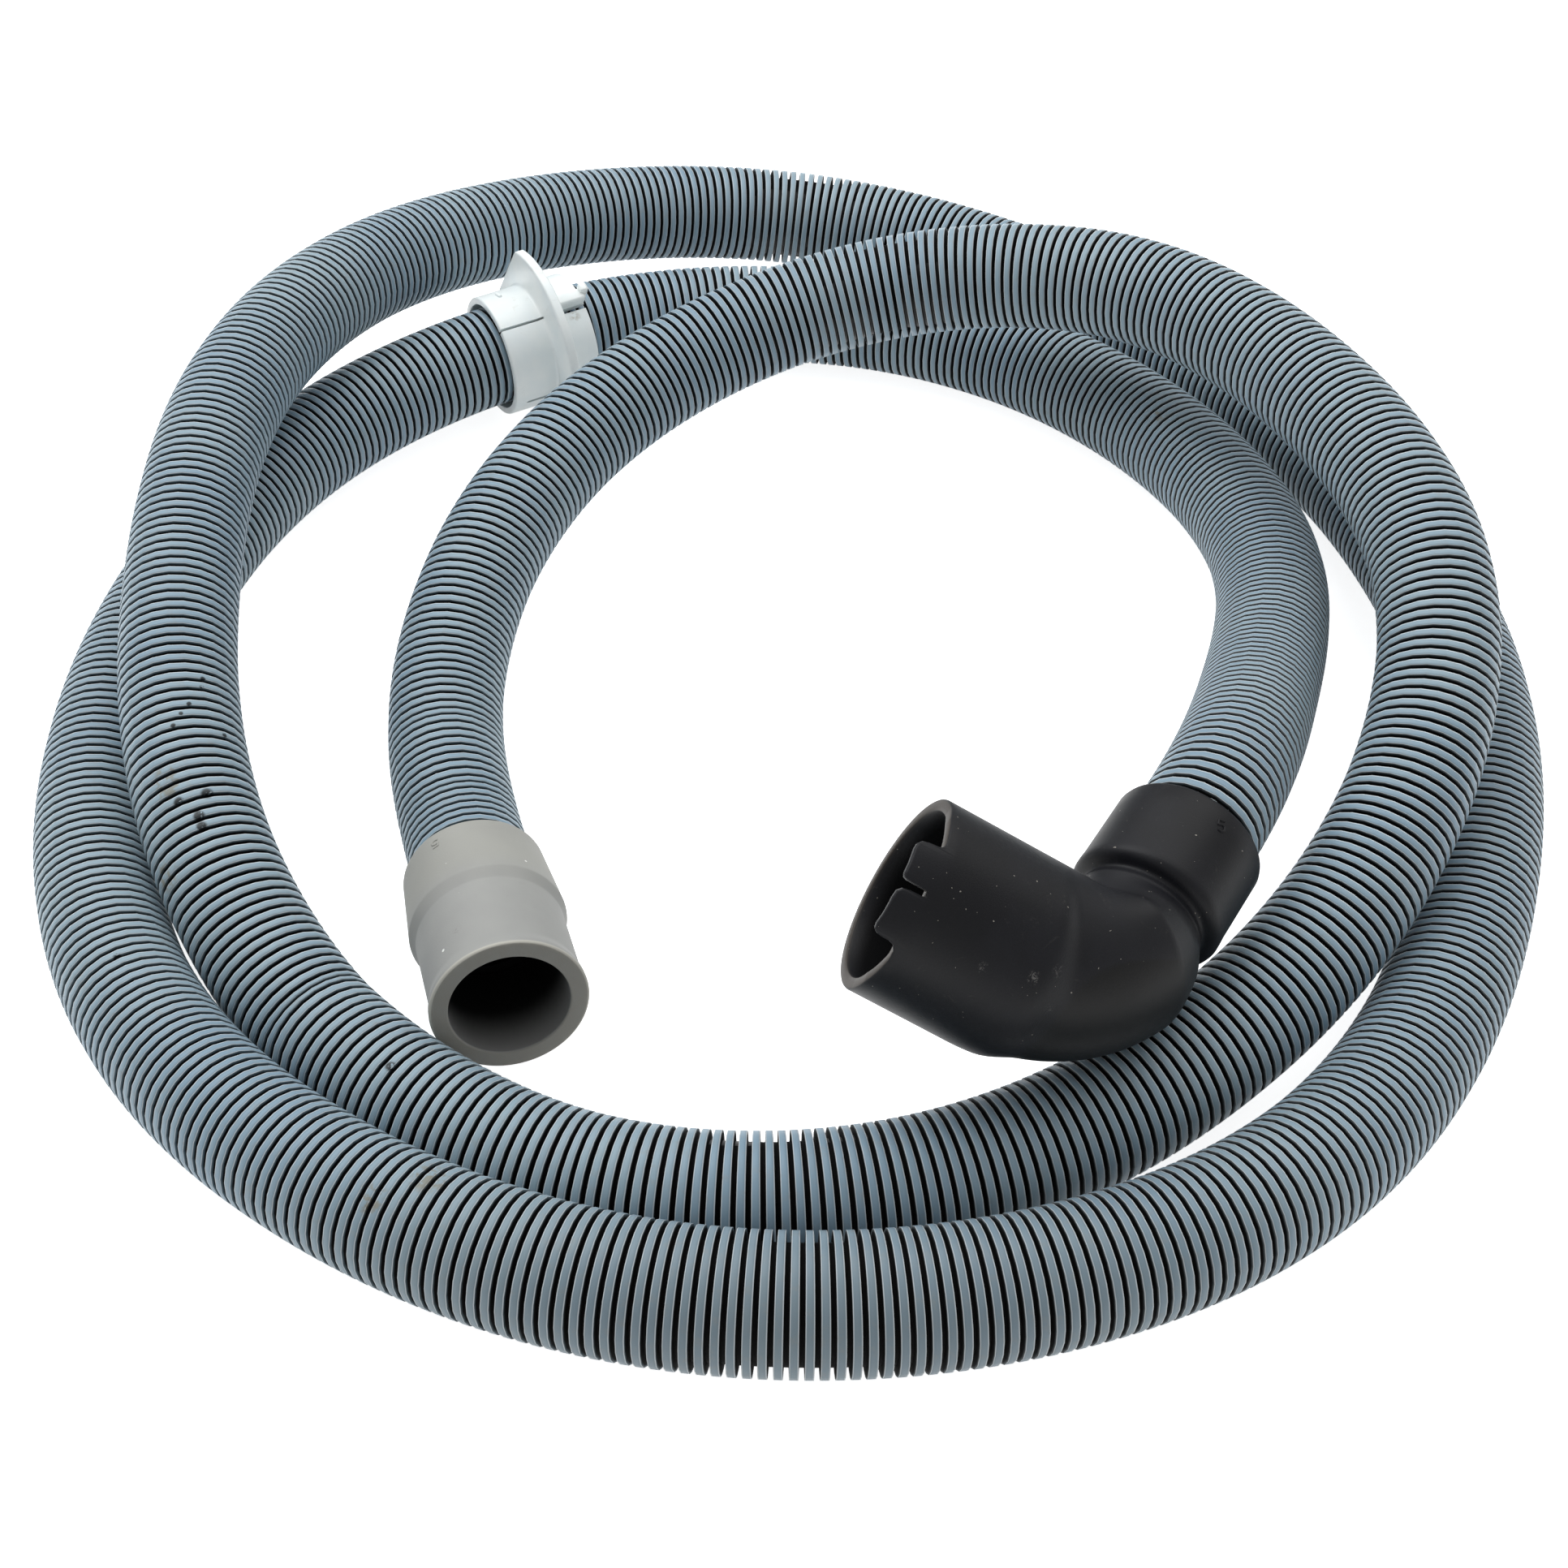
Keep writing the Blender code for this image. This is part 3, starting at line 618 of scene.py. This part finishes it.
elbow = dict(
    numeral=((0.07789, -0.09883, 0.05514), (0.34, 0.66, 0.67), (0.39, -0.30, 0.87),
             0.0023, 0.00022),
    socketDepth=0.018,
    socketRadius=0.0150,
    neckRadius=0.0128,
    neckBore=0.0105,
    legIn=0.0425,
    legOut=0.0407,
    bendRadius=0.0260,
    bendRows=48,
    mouthWay=(-0.8595, 0.1762, 0.4799),
    bellyMiddle=0.0174,
    bellyEnd=0.0177,
    sleeveRadius=0.0189,
    sleeveLength=0.0258,
    wall=0.0024,
    mouthDepth=0.0180,
    tabThickness=0.0014,
    fitGap=0.0004,
    # rim of the mouth with its two tabs: degrees round it, and millimetres above the plain rim
    rim=[
        (-48.0, 0.0), (-62.0, 0.35), (-79.0, 0.35), (-84.5, 0.4), (-86.8, 0.9), (-88.0, 2.0),
        (-88.4, 3.6), (-89.2, 4.6), (-91.2, 5.25), (-94.5, 5.45), (-103.0, 5.35), (-109.4, 5.4),
        (-111.5, 5.15), (-112.4, 4.5), (-112.5, 0.9), (-113.0, 0.5), (-115.7, 0.4), (-116.3, 0.8),
        (-116.4, 3.2), (-117.2, 4.5), (-119.6, 5.25), (-123.8, 5.4), (-132.8, 5.3), (-140.5, 5.4),
        (-143.2, 5.2), (-144.5, 4.6), (-144.9, 3.9), (-145.0, 2.3), (-146.4, 1.0), (-150.0, 0.2),
        (-156.0, -0.1), (-166.0, 0.0), (-180.0, 0.2), (-200.0, 0.0), (-240.0, 0.0),
    ],
    bellyShares=(0.0, 0.10, 0.25, 1.0),
    # socket: millimetres down from its open end, and added to its radius
    socketOutline=[
        (0.0, -0.7), (0.3, -0.2), (0.9, 0.0), (5.0, 0.0), (10.0, 0.0), (15.5, 0.0), (17.5, 0.1),
        (18.6, 0.1), (19.2, -0.1), (19.7, -0.5), (20.05, -1.0), (20.3, -1.6), (20.5, -2.15),
        (20.75, -2.45), (21.1, -2.55), (21.5, -2.5), (22.0, -2.35), (22.5, -2.2),
    ],
)


def elbowAxes():
    last = routePoints[-1]
    forward = unit(last - routePoints[-3])
    return axesFrom(last - forward * elbow["socketDepth"], -forward, elbow["mouthWay"])


def tubeGrid(line, way, radii, angles):
    # rings of the given radius square to a flat line in the xz plane, y being the second ring axis
    across = np.broadcast_to((0.0, 1.0, 0.0), way.shape)
    out = np.cross(across, way)
    ring = np.cos(angles)[:, None] * out[:, None] + np.sin(angles)[:, None] * across[:, None]
    radii = np.asarray(radii)
    return line[:, None] + (radii[:, None, None] if radii.ndim == 1 else radii[:, :, None]) * ring


def cutJoin(base, steps):
    # exact union or difference with each helper in turn, after which the helpers are removed
    for operation, other in steps:
        change = base.modifiers.new(operation.lower(), "BOOLEAN")
        change.operation = operation
        change.solver = "EXACT"
        change.object = other
    return base


def settle(piece, helpers=()):
    # the modifiers are baked into the mesh and the helper objects go
    graph = bpy.context.evaluated_depsgraph_get()
    mesh = bpy.data.meshes.new_from_object(piece.evaluated_get(graph))
    mesh.name = piece.name
    piece.modifiers.clear()
    piece.data = mesh
    for helper in helpers:
        bpy.data.objects.remove(helper, do_unlink=True)
    return piece


def elbowLine(facts, turn, heights, toMouth):
    # straight down from the hose, an arc in the xz plane, then straight out to the mouth
    bend = facts["bendRadius"]
    reach = bend / math.tan((math.pi - turn) / 2)
    out = np.array([math.sin(turn), 0, -math.cos(turn)])
    mouth = np.array([0, 0, -facts["legIn"]]) + out * facts["legOut"]
    t = np.linspace(0, turn, facts["bendRows"])[:, None]
    centre = np.array([bend, 0, reach - facts["legIn"]])
    arc = centre + bend * np.hstack([-np.cos(t), 0 * t, -np.sin(t)])
    down = np.array([[0, 0, -1.0]])
    line = np.vstack([down * heights[:, None], arc, mouth - out * toMouth[:, None]])
    way = np.vstack([np.repeat(down, len(heights), 0), np.hstack([np.sin(t), 0 * t, -np.cos(t)]),
                     np.repeat([out], len(toMouth), 0)])
    back = facts["legOut"] - reach + bend * (turn - t[:, 0])
    return line, way, mouth, out, back


def makeElbow(facts):
    axes = elbowAxes()
    turn = math.pi - math.acos(axes[1][2] @ unit(facts["mouthWay"]))
    share = np.linspace(0, 1, facts["bendRows"])
    socket, neck, wall = facts["socketRadius"], facts["neckRadius"], facts["wall"]
    # outer skin: radius against the centreline, with a rounded lip and a crease at the socket's end
    outline = np.array(facts["socketOutline"]) * mm
    toMouth = np.array([0.019, 0.0165, 0.014, 0.011, 0.008, 0.005, 0.002])
    line, way, mouth, out, back = elbowLine(facts, turn, outline[:, 0], toMouth)
    belly = np.interp(share, facts["bellyShares"], [neck, (neck + facts["bellyMiddle"]) / 2,
                                                    facts["bellyMiddle"], facts["bellyEnd"]])
    radii = np.concatenate([socket + outline[:, 1], belly,
                            np.full(len(toMouth), facts["bellyEnd"])])
    # the sleeve is a soft step in radius, at its own distance back from the mouth
    length, sleeve = facts["sleeveLength"], facts["sleeveRadius"]
    back = np.concatenate([np.full(len(outline), 1.0), back, toMouth])
    radii = radii + (sleeve - radii) * (1 - smoothStep(length - 0.0020, length + 0.0030, back))
    # the rim follows its table of heights round the mouth, with a column wherever the table turns
    table = np.array(facts["rim"])[::-1]
    degrees = np.unique(np.concatenate([np.linspace(-240, 120, 241), table[:, 0]]))[:-1]
    depth = np.interp(degrees, np.append(table[:, 0], 120), np.append(table[:, 1], 0.0)) * mm
    a = np.radians(degrees + 180)
    # inside the bend both skins follow the straight sleeve until it meets the neck, in a crotch
    rows = slice(len(outline), len(outline) + len(share))
    yAxis = np.array([0.0, 1.0, 0.0])
    across = np.cross(yAxis, way[rows])
    ring = np.cos(a)[:, None] * across[:, None] + np.sin(a)[:, None] * yAxis
    offset = (line[rows] - mouth) - ((line[rows] - mouth) @ out)[:, None] * out
    flat = ring - (ring @ out)[:, :, None] * out
    square, cross = (flat ** 2).sum(-1), (flat * offset[:, None]).sum(-1)
    beyond = ((offset ** 2).sum(-1) - sleeve ** 2)[:, None]
    span = np.sqrt(np.maximum(cross ** 2 - square * beyond, 0))
    limit = np.maximum((span - cross) / np.maximum(square, 0.01), neck)
    inward = smoothStep(0.0, 0.75, -np.cos(a))[None]
    radii = np.repeat(radii[:, None], len(a), 1)
    radii[rows] += (np.minimum(limit, sleeve) - radii[rows]) * inward
    outer = tubeGrid(line, way, radii, a)
    radial = np.cos(a)[:, None] * np.cross(yAxis, out) + np.sin(a)[:, None] * yAxis
    inner, bore = sleeve - facts["tabThickness"], sleeve - wall
    level = np.minimum(depth, 0.0004)
    corners = [(sleeve, depth - 0.0004), (sleeve - 0.0001, depth - 0.00015),
               (sleeve - 0.0003, depth), (inner + 0.0002, depth),
               (inner, np.maximum(depth - 0.0002, level)), (inner, level),
               (bore + 0.0002, level), (bore, level - 0.0002)]
    rim = np.stack([mouth + radial * r + out * z[:, None] for r, z in corners])
    # the hollow, run from the socket to the mouth and then turned round to close the sheet
    stop = facts["socketDepth"] + facts["fitGap"]
    hole, throat = hose["outer"] / 2 + facts["fitGap"], facts["neckBore"]
    deep, wide = facts["mouthDepth"], facts["bellyMiddle"] - wall
    line, way = elbowLine(facts, turn, np.array([0, 0.0004, 0.009, stop, stop + 0.0002]),
                          np.array([deep, deep - 0.002, 0.010, 0.004]))[:2]
    bend = np.interp(share, [0, 0.16, 0.34, 1],
                     [throat, (throat + wide) / 2, wide, facts["bellyEnd"] - wall])
    radii = np.concatenate([[hole + 0.0004, hole, hole, hole, throat], bend,
                            [bore - 0.0003, bore, bore, bore]])
    radii = np.repeat(radii[:, None], len(a), 1)
    radii[5:-4] += (np.minimum(radii[5:-4], limit - wall) - radii[5:-4]) * inward
    hollow = tubeGrid(line, way, radii, a)[::-1]
    # one sheet: up the outer skin, over the rim, down the hollow and over the socket's end
    sheet = np.concatenate([outer, rim, hollow])
    mesh = gridMesh("elbow_cuff_rubber", placed(sheet, axes), closeAlong=True)
    weld(mesh)
    joined(mesh, raisedFive(facts["numeral"]))
    smoothShade(mesh, 50)
    return newPiece("elbow_cuff_rubber", mesh)


elbowFinish = dict(
    body=srgb(8, 9, 14),
    patchy=srgb(17, 18, 24),
    face=srgb(74, 67, 60),
    inside=srgb(6, 6, 7),
    scuff=srgb(120, 118, 116),
    dust=srgb(170, 165, 155),
    roughness=0.46,
    specular=0.28,
    # rubbed places: where, how wide, how strong
    rubs=[
        ((0.0311, -0.1386, 0.0614), 0.0014, 0.45), ((0.0400, -0.1387, 0.0589), 0.0016, 0.70),
        ((0.0439, -0.1364, 0.0583), 0.0018, 0.70), ((0.0558, -0.1341, 0.0535), 0.0013, 0.50),
        ((0.0427, -0.1399, 0.0528), 0.0015, 0.40),
    ],
)


def elbowMaterial(facts, geometry):
    made, tree, shader, where = startMaterial("elbow_rubber_satin", facts["roughness"])
    shader.inputs["Specular IOR Level"].default_value = facts["specular"]
    axes = elbowAxes()
    out = unit(geometry["mouthWay"])
    corner = axes[0] - axes[1][2] * geometry["legIn"]
    mouth = tuple((corner + out * geometry["legOut"]).tolist())
    depth, radial = where.roundAxis(mouth, out.tolist())
    cloud = where.noise(60.0, 4.0, 0.6)
    scuff = where.noise(240.0, 6.0, 0.75, 1.5).between(0.60, 0.78)
    speck = where.noise(1300.0, 1.0, 0.4).between(0.785, 0.80)
    grain = where.noise(3200.0, 2.0, 0.6)
    colour = cloud.between(0.35, 0.75).colours(facts["body"], facts["patchy"])
    colour = (scuff * 0.06).colours(colour, facts["dust"])
    for place, radius, strength in facts["rubs"]:
        ragged = where.noise(1300.0, 4.0, 0.7, 1.0).between(0.50, 0.62)
        rub = where.near(place, radius, 0.2) * ragged
        colour = (rub * strength).colours(colour, facts["scuff"])
    colour = (speck * 0.6).colours(colour, facts["dust"])
    # the rim's end face is rubbed brown, the inside of the mouth stays dark
    bore = geometry["sleeveRadius"] - geometry["wall"]
    rim = (1.0 - depth.between(0.0003, 0.0008)) * radial.between(bore - 0.0001, bore + 0.0002)
    outside = geometry["sleeveRadius"]
    rim = rim * depth.between(-0.0012, -0.0006)
    rim = rim * (1.0 - radial.between(outside - 0.0005, outside - 0.0002))
    colour = (rim * (0.55 + 0.4 * where.noise(400.0, 4.0, 0.6))).colours(colour, facts["face"])
    within = (1.0 - radial.between(bore - 0.0001, bore + 0.0003)) * depth.between(0.0000, 0.0040)
    colour = within.colours(colour, facts["inside"])
    tree.links.new(colour.socket, shader.inputs["Base Color"])
    tree.links.new((facts["roughness"] - 0.06 + 0.16 * cloud + 0.1 * scuff).socket,
                   shader.inputs["Roughness"])
    tree.links.new(bumped(where, grain * 0.6 + cloud, 0.00008, 0.5).socket, shader.inputs["Normal"])
    return made


elbowPiece = makeElbow(elbow)
elbowPiece.data.materials.append(elbowMaterial(elbowFinish, elbow))
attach(elbowPiece, "root")
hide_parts("elbow_cuff")
print("elbow:", len(elbowPiece.data.polygons), "faces")


clip = dict(
    centre=(-0.0661, 0.1180, 0.0157),
    heading=29.5,
    longSide=0.0144,
    shortSide=0.0094,
    radius=0.0155,
    bore=0.0137,
    flangeRadius=0.0250,
    flangeThickness=0.0025,
    flatBelow=0.0155,
    flatBack=0.0193,
    flatBackAngle=35.5,
    splitAngle=124.0,
    splitWidth=0.0007,
    latchGap=0.0013,         # the split is wider beside the latch bar
    latch=0.0032,
)


def clipAxes():
    heading = math.radians(clip["heading"])
    way = np.array([math.cos(heading), math.sin(heading), 0])
    return axesFrom(clip["centre"], way, np.cross((0, 0, 1), way))


def makeClip(facts):
    # an outline swung from one side of the split to the other, its flange trimmed by two flats
    radius, bore, flange = facts["radius"], facts["bore"], facts["flangeRadius"]
    thick = facts["flangeThickness"]
    outline = roundedOutline([
        (bore, facts["shortSide"], 0.0003), (radius, facts["shortSide"], 0.0005),
        (radius, 0.0, 0.0006), (flange, 0.0, 0.0006), (flange, -thick, 0.0006),
        (radius, -thick, 0.0008), (radius, -facts["longSide"], 0.0005),
        (bore, -facts["longSide"], 0.0003)], steps=6)
    fine = []
    for a, b in zip(outline, np.roll(outline, -1, axis=0)):
        parts = max(1, round(float(np.linalg.norm(b - a)) / 0.0010))
        fine.append(a + (b - a) * np.arange(parts)[:, None] / parts)
    outline = np.vstack(fine)
    r, z = outline[:, :1], outline[:, 1:]
    gap = np.where(z > 0.0006, facts["latchGap"], facts["splitWidth"])
    gap = np.where(r > radius + 0.0004, 0.02, 0.5) * gap / r
    share = np.linspace(0, 1, 241)[None]
    angle = math.radians(facts["splitAngle"]) + gap + (math.tau - 2 * gap) * share
    reach = np.repeat(r, share.shape[1], 1)
    for flat, towards in ((facts["flatBelow"], -90.0), (facts["flatBack"], facts["flatBackAngle"])):
        facing = np.cos(angle - math.radians(towards))
        limit = np.where(facing > 0.05, flat / np.maximum(facing, 0.05), 1.0)
        reach = np.where(r > radius + 0.0001, np.minimum(reach, np.maximum(limit, radius)), reach)
    grid = np.stack([reach * np.cos(angle), reach * np.sin(angle),
                     np.broadcast_to(z, angle.shape)], -1)
    mesh = gridMesh("clipRing", placed(grid, clipAxes()), closeAlong=True, closeRound=False)
    work = bmesh.new()
    work.from_mesh(mesh)
    bmesh.ops.holes_fill(work, edges=work.edges, sides=0)
    bmesh.ops.recalc_face_normals(work, faces=work.faces)
    work.to_mesh(mesh)
    work.free()
    ring = newPiece("bulkhead_clip_moulded", mesh)

    def block(name, angle, radiusIn, sizes, along, roundness=0.0004):
        # a rounded bar: a superellipse outline in the ring's plane carried along the axis
        count, rows = 24, 14
        t = np.arange(count) * math.tau / count
        power = 0.35
        sx = np.sign(np.cos(t)) * np.abs(np.cos(t)) ** power
        sy = np.sign(np.sin(t)) * np.abs(np.sin(t)) ** power
        v = np.linspace(-1, 1, rows)
        ends = np.minimum(1, (1 - np.abs(v)) * sizes[2] / 2 / roundness)
        grow = 1 - (1 - np.sqrt(1 - (1 - ends) ** 2)) * roundness / (min(sizes[:2]) / 2)
        x = radiusIn + sizes[0] / 2 + sx[None] * grow[:, None] * sizes[0] / 2
        y = sy[None] * grow[:, None] * sizes[1] / 2
        zz = np.broadcast_to((along + v * sizes[2] / 2)[:, None], x.shape)
        c, s = math.cos(math.radians(angle)), math.sin(math.radians(angle))
        grid = np.stack([x * c - y * s, x * s + y * c, zz], -1)
        return newPiece(name, closedTube(name, placed(grid, clipAxes())))

    angle = facts["splitAngle"]
    latch = facts["latch"]
    bar = block("bar", angle - 9, radius - 0.0008, (latch, latch, facts["shortSide"] + 0.0014),
                facts["shortSide"] / 2, 0.0008)
    knob = block("knob", angle - 12, radius + 0.0008, (0.0030, 0.0028, 0.0026),
                 facts["shortSide"] + 0.0004, 0.0012)
    lug = block("lug", 78.0, radius - 0.0006, (0.0011, 0.0030, 0.0012), -0.0095)
    slot = block("slot", 207.0, bore - 0.0010, (0.0060, 0.0010, 0.0092), -0.0066)
    cutJoin(ring, [("UNION", bar), ("UNION", knob), ("UNION", lug), ("DIFFERENCE", slot)])
    settle(ring, (bar, knob, lug, slot))
    weld(ring.data, 0.000004)
    smoothShade(ring.data, 38)
    return ring


clipFinish = dict(
    body=srgb(246, 250, 248),
    cool=srgb(235, 243, 244),
    grime=srgb(150, 138, 112),
    stain=((-0.0562, 0.1118, 0.0273), 0.0022),
    roughness=0.34,
)


def clipMaterial(facts):
    made, tree, shader, where = startMaterial("clip_plastic_offwhite", facts["roughness"])
    cloud = where.noise(75.0, 3.0, 0.55)
    grain = where.noise(1500.0, 2.0, 0.5)
    smear = where.noise(190.0, 5.0, 0.7, 0.5).between(0.60, 0.80)
    colour = cloud.between(0.3, 0.7).colours(facts["body"], facts["cool"])
    colour = (smear * 0.25).colours(colour, facts["grime"])
    place, radius = facts["stain"]
    stain = where.near(place, radius, 0.1) * where.noise(900.0, 3.0, 0.6).between(0.40, 0.60)
    colour = (stain * 0.5).colours(colour, facts["grime"])
    tree.links.new(colour.socket, shader.inputs["Base Color"])
    tree.links.new((facts["roughness"] - 0.05 + 0.14 * cloud).socket, shader.inputs["Roughness"])
    tree.links.new(bumped(where, cloud + grain * 0.2, 0.00010, 0.4).socket, shader.inputs["Normal"])
    return made


clipPiece = makeClip(clip)
clipPiece.data.materials.append(clipMaterial(clipFinish))
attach(clipPiece, "root")
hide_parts("bulkhead_clip")
print("clip:", len(clipPiece.data.polygons), "faces")


studio = dict(
    floorSize=6.0,
    floorColour=(0.93, 0.93, 0.93),
    floorGlow=0.85,
    worldLight=0.50,
    lamps=[
        # name, place, size, watts, colour
        ("key", (-0.50, 0.45, 1.00), 1.10, 9.5, (0.98, 0.99, 1.0)),
        ("second", (0.50, 0.50, 1.00), 1.10, 4.5, (1.0, 0.99, 0.98)),
    ],
)


def makeStudio(facts):
    half = facts["floorSize"] / 2
    step = np.linspace(-half, half, 9)
    x, y = np.meshgrid(step, step, indexing="xy")
    mesh = gridMesh("floor", np.stack([x, y, np.full_like(x, -0.0002)], -1), closeRound=False)
    floor = newPiece("floor", mesh)
    made, tree, shader, _ = startMaterial("floor_white", 0.9)
    shader.inputs["Base Color"].default_value = (*facts["floorColour"], 1)
    shader.inputs["Specular IOR Level"].default_value = 0.0
    path = tree.nodes.new("ShaderNodeLightPath")
    seen = Wire(tree, path.outputs["Is Camera Ray"])
    seen = seen.most(Wire(tree, path.outputs["Is Glossy Ray"]))
    seen = seen.most(Wire(tree, path.outputs["Is Transmission Ray"]))
    tree.links.new((seen * facts["floorGlow"]).socket, shader.inputs["Emission Strength"])
    shader.inputs["Emission Color"].default_value = (1, 1, 1, 1)
    mesh.materials.append(made)
    for name, place, size, watts, colour in facts["lamps"]:
        lamp = bpy.data.lights.new(name, "AREA")
        lamp.shape = "DISK"
        lamp.size = size
        lamp.energy = watts
        lamp.color = colour
        holder = bpy.data.objects.new(name, lamp)
        holder.location = place
        aim = Vector((0, 0, 0.02)) - Vector(place)
        holder.rotation_euler = aim.to_track_quat("-Z", "Y").to_euler()
        bpy.context.scene.collection.objects.link(holder)
    world = bpy.data.worlds.new("studio")
    world.use_nodes = True
    tree = world.node_tree
    back = tree.nodes["Background"]
    path = tree.nodes.new("ShaderNodeLightPath")
    seen = Wire(tree, path.outputs["Is Camera Ray"])
    level = seen * (1.0 - facts["worldLight"]) + facts["worldLight"]
    back.inputs["Color"].default_value = (1, 1, 1, 1)
    tree.links.new(level.socket, back.inputs["Strength"])
    bpy.context.scene.world = world


makeStudio(studio)
bpy.context.scene.view_settings.view_transform = "Standard"
print("studio lit")
